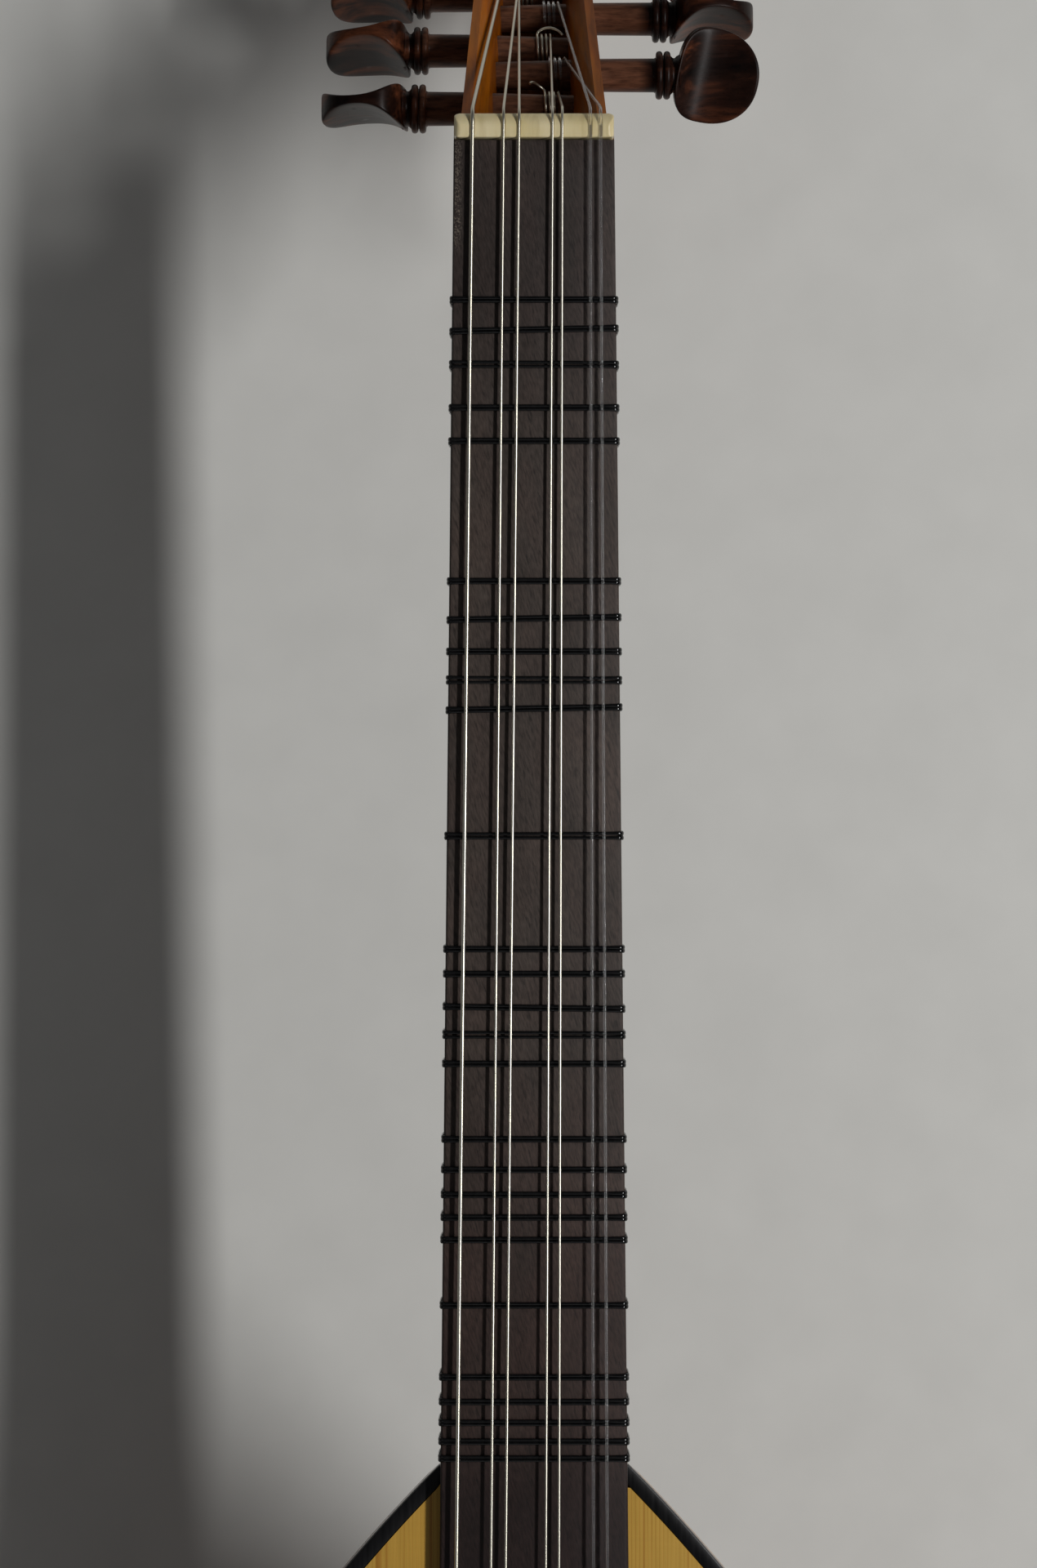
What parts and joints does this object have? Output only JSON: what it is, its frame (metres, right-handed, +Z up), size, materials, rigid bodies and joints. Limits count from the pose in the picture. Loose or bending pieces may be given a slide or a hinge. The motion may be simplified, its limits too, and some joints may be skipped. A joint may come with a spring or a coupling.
{
  "type": "lavta",
  "caption": "Long-necked plucked lute with a ribbed bowl, a leaning pegbox with side pegs, and tied frets that slide along the neck.",
  "frame": {"origin": "the floor under the middle of the instrument lying on its back: X 0 on its centreline, Y 0 halfway along it, Z 0 on the floor", "axes": "+Y runs along the strings from the tail to the pegbox, +Z is up out of the soundboard, and +X is the treble side"},
  "size_m": [0.3, 0.887, 0.1652],
  "materials": {
    "spruce": "thin satin varnish on fine straight-grained spruce",
    "rib_wood": "polished dark ribs",
    "black_wood": "satin black",
    "fingerboard_wood": "dry oiled dark hardwood with open pores",
    "neck_wood": "satin varnish",
    "bone": "polished bone",
    "amber_wood": "glossy honey-coloured varnish",
    "peg_wood": "polished rosewood",
    "inner_wood": "bare",
    "wound_silver": "fine silvered winding",
    "clear_nylon": "clear",
    "black_nylon": "glossy"
  },
  "bodies": {
    "lavta_body": {"bowl": "rib_wood", "brace_1": "inner_wood", "brace_2": "inner_wood", "brace_3": "inner_wood", "brace_4": "inner_wood", "bridge": "black_wood", "edging": "black_wood", "fingerboard": "fingerboard_wood", "neck": "neck_wood", "neck_block": "inner_wood", "nut": "bone", "pegbox_back": "amber_wood", "pegbox_cheek_bass": "amber_wood", "pegbox_cheek_treble": "amber_wood", "pegbox_finial": "amber_wood", "rosette": "black_wood", "soundboard": "spruce", "string_1": "wound_silver", "string_2": "wound_silver", "string_3": "wound_silver", "string_4": "wound_silver", "string_5": "wound_silver", "string_6": "clear_nylon", "string_7": "clear_nylon", "tail_block": "inner_wood", "tail_cap": "black_wood"},
    "peg_bass_1": {"peg_bass_1": "peg_wood"},
    "peg_bass_2": {"peg_bass_2": "peg_wood"},
    "peg_bass_3": {"peg_bass_3": "peg_wood"},
    "peg_bass_4": {"peg_bass_4": "peg_wood"},
    "peg_treble_1": {"peg_treble_1": "peg_wood"},
    "peg_treble_2": {"peg_treble_2": "peg_wood"},
    "peg_treble_3": {"peg_treble_3": "peg_wood"},
    "fret_01": {"fret_01": "black_nylon"},
    "fret_02": {"fret_02": "black_nylon"},
    "fret_03": {"fret_03": "black_nylon"},
    "fret_04": {"fret_04": "black_nylon"},
    "fret_05": {"fret_05": "black_nylon"},
    "fret_06": {"fret_06": "black_nylon"},
    "fret_07": {"fret_07": "black_nylon"},
    "fret_08": {"fret_08": "black_nylon"},
    "fret_09": {"fret_09": "black_nylon"},
    "fret_10": {"fret_10": "black_nylon"},
    "fret_11": {"fret_11": "black_nylon"},
    "fret_12": {"fret_12": "black_nylon"},
    "fret_13": {"fret_13": "black_nylon"},
    "fret_14": {"fret_14": "black_nylon"},
    "fret_15": {"fret_15": "black_nylon"},
    "fret_16": {"fret_16": "black_nylon"},
    "fret_17": {"fret_17": "black_nylon"},
    "fret_18": {"fret_18": "black_nylon"},
    "fret_19": {"fret_19": "black_nylon"},
    "fret_20": {"fret_20": "black_nylon"},
    "fret_21": {"fret_21": "black_nylon"},
    "fret_22": {"fret_22": "black_nylon"},
    "fret_23": {"fret_23": "black_nylon"},
    "fret_24": {"fret_24": "black_nylon"},
    "fret_25": {"fret_25": "black_nylon"},
    "fret_26": {"fret_26": "black_nylon"},
    "fret_27": {"fret_27": "black_nylon"}
  },
  "joints": [
    {"name": "peg_bass_1_turn", "type": "hinge", "parent": "lavta_body", "child": "peg_bass_1", "pos_m": [0, 0.3322, 0.12402], "axis": [1, 0, 0], "continuous": true},
    {"name": "peg_bass_2_turn", "type": "hinge", "parent": "lavta_body", "child": "peg_bass_2", "pos_m": [0, 0.35159, 0.10183], "axis": [1, 0, 0], "continuous": true},
    {"name": "peg_bass_3_turn", "type": "hinge", "parent": "lavta_body", "child": "peg_bass_3", "pos_m": [0, 0.37099, 0.07963], "axis": [1, 0, 0], "continuous": true},
    {"name": "peg_bass_4_turn", "type": "hinge", "parent": "lavta_body", "child": "peg_bass_4", "pos_m": [0, 0.39038, 0.05744], "axis": [1, 0, 0], "continuous": true},
    {"name": "peg_treble_1_turn", "type": "hinge", "parent": "lavta_body", "child": "peg_treble_1", "pos_m": [0, 0.34331, 0.11131], "axis": [1, 0, 0], "continuous": true},
    {"name": "peg_treble_2_turn", "type": "hinge", "parent": "lavta_body", "child": "peg_treble_2", "pos_m": [0, 0.36271, 0.08911], "axis": [1, 0, 0], "continuous": true},
    {"name": "peg_treble_3_turn", "type": "hinge", "parent": "lavta_body", "child": "peg_treble_3", "pos_m": [0, 0.3821, 0.06692], "axis": [1, 0, 0], "continuous": true},
    {"name": "fret_01_slide", "type": "slide", "parent": "lavta_body", "child": "fret_01", "axis": [0, 1, 0], "range_m": [-0.0024, 0.003]},
    {"name": "fret_02_slide", "type": "slide", "parent": "lavta_body", "child": "fret_02", "axis": [0, 1, 0], "range_m": [-0.0027, 0.0024]},
    {"name": "fret_03_slide", "type": "slide", "parent": "lavta_body", "child": "fret_03", "axis": [0, 1, 0], "range_m": [-0.003, 0.0027]},
    {"name": "fret_04_slide", "type": "slide", "parent": "lavta_body", "child": "fret_04", "axis": [0, 1, 0], "range_m": [-0.003, 0.003]},
    {"name": "fret_05_slide", "type": "slide", "parent": "lavta_body", "child": "fret_05", "axis": [0, 1, 0], "range_m": [-0.003, 0.003]},
    {"name": "fret_06_slide", "type": "slide", "parent": "lavta_body", "child": "fret_06", "axis": [0, 1, 0], "range_m": [-0.003, 0.003]},
    {"name": "fret_07_slide", "type": "slide", "parent": "lavta_body", "child": "fret_07", "axis": [0, 1, 0], "range_m": [-0.0028, 0.003]},
    {"name": "fret_08_slide", "type": "slide", "parent": "lavta_body", "child": "fret_08", "axis": [0, 1, 0], "range_m": [-0.0024, 0.0028]},
    {"name": "fret_09_slide", "type": "slide", "parent": "lavta_body", "child": "fret_09", "axis": [0, 1, 0], "range_m": [-0.002, 0.0024]},
    {"name": "fret_10_slide", "type": "slide", "parent": "lavta_body", "child": "fret_10", "axis": [0, 1, 0], "range_m": [-0.003, 0.002]},
    {"name": "fret_11_slide", "type": "slide", "parent": "lavta_body", "child": "fret_11", "axis": [0, 1, 0], "range_m": [-0.003, 0.003]},
    {"name": "fret_12_slide", "type": "slide", "parent": "lavta_body", "child": "fret_12", "axis": [0, 1, 0], "range_m": [-0.0019, 0.003]},
    {"name": "fret_13_slide", "type": "slide", "parent": "lavta_body", "child": "fret_13", "axis": [0, 1, 0], "range_m": [-0.0027, 0.0019]},
    {"name": "fret_14_slide", "type": "slide", "parent": "lavta_body", "child": "fret_14", "axis": [0, 1, 0], "range_m": [-0.0021, 0.0027]},
    {"name": "fret_15_slide", "type": "slide", "parent": "lavta_body", "child": "fret_15", "axis": [0, 1, 0], "range_m": [-0.0026, 0.0021]},
    {"name": "fret_16_slide", "type": "slide", "parent": "lavta_body", "child": "fret_16", "axis": [0, 1, 0], "range_m": [-0.003, 0.0026]},
    {"name": "fret_17_slide", "type": "slide", "parent": "lavta_body", "child": "fret_17", "axis": [0, 1, 0], "range_m": [-0.0026, 0.003]},
    {"name": "fret_18_slide", "type": "slide", "parent": "lavta_body", "child": "fret_18", "axis": [0, 1, 0], "range_m": [-0.002, 0.0026]},
    {"name": "fret_19_slide", "type": "slide", "parent": "lavta_body", "child": "fret_19", "axis": [0, 1, 0], "range_m": [-0.0017, 0.002]},
    {"name": "fret_20_slide", "type": "slide", "parent": "lavta_body", "child": "fret_20", "axis": [0, 1, 0], "range_m": [-0.0016, 0.0017]},
    {"name": "fret_21_slide", "type": "slide", "parent": "lavta_body", "child": "fret_21", "axis": [0, 1, 0], "range_m": [-0.003, 0.0016]},
    {"name": "fret_22_slide", "type": "slide", "parent": "lavta_body", "child": "fret_22", "axis": [0, 1, 0], "range_m": [-0.003, 0.003]},
    {"name": "fret_23_slide", "type": "slide", "parent": "lavta_body", "child": "fret_23", "axis": [0, 1, 0], "range_m": [-0.0019, 0.003]},
    {"name": "fret_24_slide", "type": "slide", "parent": "lavta_body", "child": "fret_24", "axis": [0, 1, 0], "range_m": [-0.0015, 0.0019]},
    {"name": "fret_25_slide", "type": "slide", "parent": "lavta_body", "child": "fret_25", "axis": [0, 1, 0], "range_m": [-0.0012, 0.0015]},
    {"name": "fret_26_slide", "type": "slide", "parent": "lavta_body", "child": "fret_26", "axis": [0, 1, 0], "range_m": [-0.001, 0.0012]},
    {"name": "fret_27_slide", "type": "slide", "parent": "lavta_body", "child": "fret_27", "axis": [0, 1, 0], "range_m": [-0.0013, 0.001]}
  ]
}
